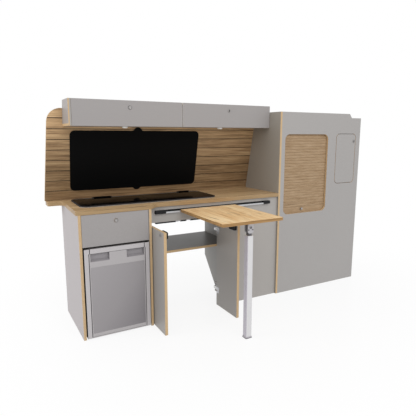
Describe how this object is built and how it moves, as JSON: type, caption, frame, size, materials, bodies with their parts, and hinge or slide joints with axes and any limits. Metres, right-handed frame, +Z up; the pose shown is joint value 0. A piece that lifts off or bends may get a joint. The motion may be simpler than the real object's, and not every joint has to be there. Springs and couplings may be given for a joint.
{
  "type": "campervan kitchen unit",
  "caption": "Campervan kitchen unit with hob and sink under glass lids, fridge, drawer, open-door bay, overhead locker, tall shutter cupboard and hook-on folding-leg table.",
  "frame": {"origin": "middle of the whole unit's footprint, table included, on the floor", "axes": "+X along the unit from the fridge end to the tall cupboard, +Y from the front to the van's wall, +Z up"},
  "size_m": [2.421, 0.988, 1.4315],
  "materials": {
    "grey_laminate": "matt grey laminate on plywood",
    "light_grey_laminate": "matt light grey laminate on plywood",
    "mid_grey_laminate": "matt grey laminate on plywood",
    "ply": "clear varnished plywood edge",
    "oak_worktop": "oak-pattern laminate",
    "oak_backboard": "oak-pattern grooved laminate",
    "oak_table": "light oak-pattern laminate",
    "steel": "brushed stainless steel",
    "hardware": "bright nickel plate",
    "hinge_steel": "nickel-plated pressed steel",
    "aluminium": "satin anodised",
    "black_glass": "gloss black printed toughened glass",
    "black_panel": "gloss black",
    "black_plastic": "matt black",
    "cast_black": "black enamel",
    "grey_plastic": "matt mid grey",
    "light_plastic": "matt light grey",
    "fridge_grey": "satin silver grey",
    "fridge_panel": "satin grey sheet",
    "fridge_liner": "white moulded liner",
    "tambour_grey": "matt grey slats"
  },
  "bodies": {
    "carcass": {"left_end_panel": "light_grey_laminate", "fridge_divider": "ply", "wheel_arch_divider": "ply", "bay_shelf": "ply", "base_front_panel": "grey_laminate", "worktop": "oak_worktop", "backboard": "oak_backboard", "black_back_panel": "black_panel", "tall_left_side": "grey_laminate", "tall_front_panel": "mid_grey_laminate", "tall_right_side": "grey_laminate", "tall_shelves": "ply", "tambour_tracks": "ply", "locker_left_end": "grey_laminate", "locker_boards": "ply", "downlights": "hardware", "table_rail": "aluminium", "rail_end_caps": "grey_plastic", "door_stop_strip": "black_plastic", "lock_strikers": "hinge_steel", "steel_hob_sink": "steel", "hob_burners": "cast_black", "lid_hinge_blocks": "hardware", "hinge_arms": "hinge_steel", "drawer_runners": "hinge_steel", "fridge_frame": "fridge_grey", "fridge_body": "fridge_liner", "fridge_shelves": "light_plastic"},
    "drawer": {"drawer_front": "grey_laminate", "drawer_box": "ply"},
    "drawer_lock_button": {"drawer_button": "hardware"},
    "fridge_door": {"fridge_door": "fridge_grey", "fridge_door_panel": "fridge_panel"},
    "left_door": {"left_door": "grey_laminate", "left_door_fittings": "hardware"},
    "left_door_lock_button": {"left_door_button": "hardware"},
    "right_door": {"right_door": "grey_laminate", "right_door_fittings": "hardware"},
    "right_door_lock_button": {"right_door_button": "hardware"},
    "left_flap": {"left_flap": "grey_laminate", "left_flap_fittings": "hardware"},
    "left_flap_lock_button": {"left_flap_button": "hardware"},
    "right_flap": {"right_flap": "grey_laminate", "right_flap_fittings": "hardware"},
    "right_flap_lock_button": {"right_flap_button": "hardware"},
    "tambour": {"tambour_curtain": "tambour_grey", "tambour_end_rail": "tambour_grey", "tambour_knob": "hardware"},
    "hatch": {"hatch_door": "mid_grey_laminate", "hatch_fittings": "hardware"},
    "hatch_lock_button": {"hatch_button": "hardware"},
    "table": {"table_top": "oak_table", "table_fittings": "aluminium"},
    "leg": {"leg_tube": "aluminium", "leg_foot": "light_plastic"},
    "left_lid": {"left_glass_lid": "black_glass"},
    "right_lid": {"right_glass_lid": "black_glass"},
    "hob_knob_left": {"hob_knob_left": "black_plastic"},
    "hob_knob_right": {"hob_knob_right": "black_plastic"},
    "tap": {"tap_spout": "hardware"}
  },
  "joints": [
    {"name": "drawer_slide", "type": "slide", "parent": "carcass", "child": "drawer", "axis": [0, -1, 0], "range_m": [0, 0.35]},
    {"name": "drawer_button_press", "type": "slide", "parent": "drawer", "child": "drawer_lock_button", "axis": [0, 1, 0], "range_m": [0, 0.003], "stiffness_N_per_m": 300},
    {"name": "fridge_door_hinge", "type": "hinge", "parent": "carcass", "child": "fridge_door", "pos_m": [-1.0465, -0.008, 0.27], "axis": [0, 0, -1], "range_deg": [0, 105]},
    {"name": "left_door_hinge", "type": "hinge", "parent": "carcass", "child": "left_door", "pos_m": [-0.6455, 0.069, 0.327], "axis": [0, 0, 1], "range_deg": [0, 90]},
    {"name": "left_door_button_press", "type": "slide", "parent": "left_door", "child": "left_door_lock_button", "axis": [1, 0, 0], "range_m": [0, 0.003], "stiffness_N_per_m": 300},
    {"name": "right_door_hinge", "type": "hinge", "parent": "carcass", "child": "right_door", "pos_m": [-0.1275, 0.069, 0.327], "axis": [0, 0, 1], "range_deg": [-90, 0]},
    {"name": "right_door_button_press", "type": "slide", "parent": "right_door", "child": "right_door_lock_button", "axis": [-1, 0, 0], "range_m": [0, 0.003], "stiffness_N_per_m": 300},
    {"name": "left_flap_hinge", "type": "hinge", "parent": "carcass", "child": "left_flap", "pos_m": [-0.7125, 0.182, 1.2826], "axis": [1, 0, 0], "range_deg": [0, 90]},
    {"name": "left_flap_button_press", "type": "slide", "parent": "left_flap", "child": "left_flap_lock_button", "axis": [0, 1, 0], "range_m": [0, 0.003], "stiffness_N_per_m": 300},
    {"name": "right_flap_hinge", "type": "hinge", "parent": "carcass", "child": "right_flap", "pos_m": [0.0145, 0.182, 1.2826], "axis": [1, 0, 0], "range_deg": [0, 90]},
    {"name": "right_flap_button_press", "type": "slide", "parent": "right_flap", "child": "right_flap_lock_button", "axis": [0, 1, 0], "range_m": [0, 0.003], "stiffness_N_per_m": 300},
    {"name": "tambour_slide", "type": "slide", "parent": "carcass", "child": "tambour", "axis": [0, 0, 1], "range_m": [0, 0.55], "deforming": ["tambour_curtain"]},
    {"name": "hatch_hinge", "type": "hinge", "parent": "carcass", "child": "hatch", "pos_m": [0.9715, 0.052, 1.032], "axis": [0, 0, -1], "range_deg": [0, 95]},
    {"name": "hatch_button_press", "type": "slide", "parent": "hatch", "child": "hatch_lock_button", "axis": [0, 1, 0], "range_m": [0, 0.003], "stiffness_N_per_m": 300},
    {"name": "table_slide", "type": "slide", "parent": "carcass", "child": "table", "axis": [1, 0, 0], "range_m": [-0.1, 0.225]},
    {"name": "leg_hinge", "type": "hinge", "parent": "table", "child": "leg", "pos_m": [-0.2205, -0.438, 0.69], "axis": [0, -1, 0], "range_deg": [0, 90]},
    {"name": "left_lid_hinge", "type": "hinge", "parent": "carcass", "child": "left_lid", "pos_m": [-0.8525, 0.4065, 0.8038], "axis": [-1, 0, 0], "range_deg": [0, 85]},
    {"name": "right_lid_hinge", "type": "hinge", "parent": "carcass", "child": "right_lid", "pos_m": [-0.2415, 0.4065, 0.8038], "axis": [-1, 0, 0], "range_deg": [0, 85]},
    {"name": "left_knob_turn", "type": "hinge", "parent": "carcass", "child": "hob_knob_left", "pos_m": [-0.6525, 0.144, 0.776], "axis": [0, 0, 1], "range_deg": [0, 210]},
    {"name": "right_knob_turn", "type": "hinge", "parent": "carcass", "child": "hob_knob_right", "pos_m": [-0.6525, 0.196, 0.776], "axis": [0, 0, 1], "range_deg": [0, 210]},
    {"name": "tap_swivel", "type": "hinge", "parent": "carcass", "child": "tap", "pos_m": [-0.1795, 0.366, 0.777], "axis": [0, 0, 1], "range_deg": [0, 60]}
  ]
}
